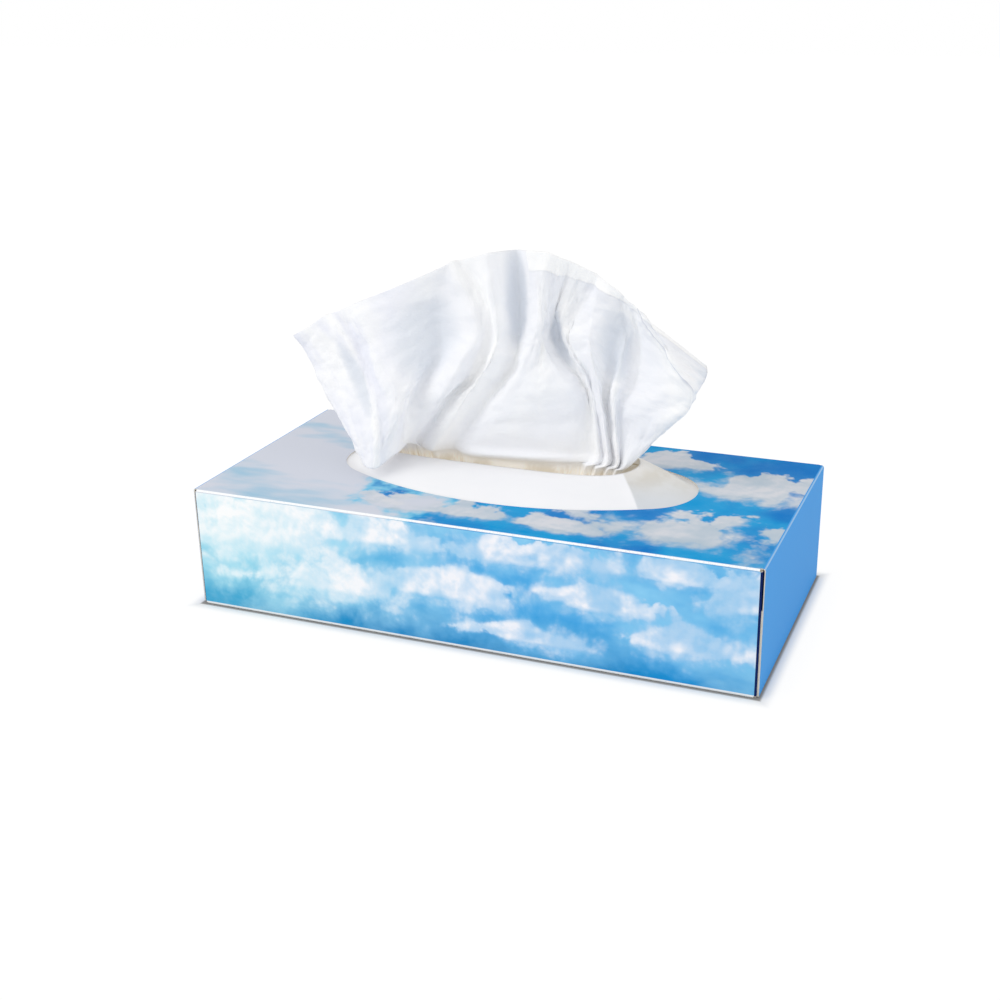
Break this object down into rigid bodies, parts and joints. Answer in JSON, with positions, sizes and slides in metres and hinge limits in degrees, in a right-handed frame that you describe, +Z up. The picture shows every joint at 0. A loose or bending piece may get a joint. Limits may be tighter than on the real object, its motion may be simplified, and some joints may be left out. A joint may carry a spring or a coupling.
{
  "type": "tissue box",
  "caption": "Flat paperboard tissue box with an oval cut-out, a slit film window, a stack of sheets and one sheet pulled up through the slit.",
  "frame": {"origin": "middle of the carton's bottom panel, on the surface it stands on", "axes": "+X along the carton's length, +Y across it to the back, +Z up; the long front panel faces -Y"},
  "size_m": [0.23, 0.112, 0.1406],
  "materials": {
    "carton": "printed and varnished sky and cloud pattern, plain blue ends",
    "slit_film": "thin milky film",
    "tissue_stack": "soft matt tissue",
    "pulled_tissue": "soft matt two-ply tissue"
  },
  "bodies": {
    "root": {"carton": "carton", "slit_film": "slit_film", "tissue_stack": "tissue_stack", "pulled_tissue": "pulled_tissue"}
  },
  "joints": []
}
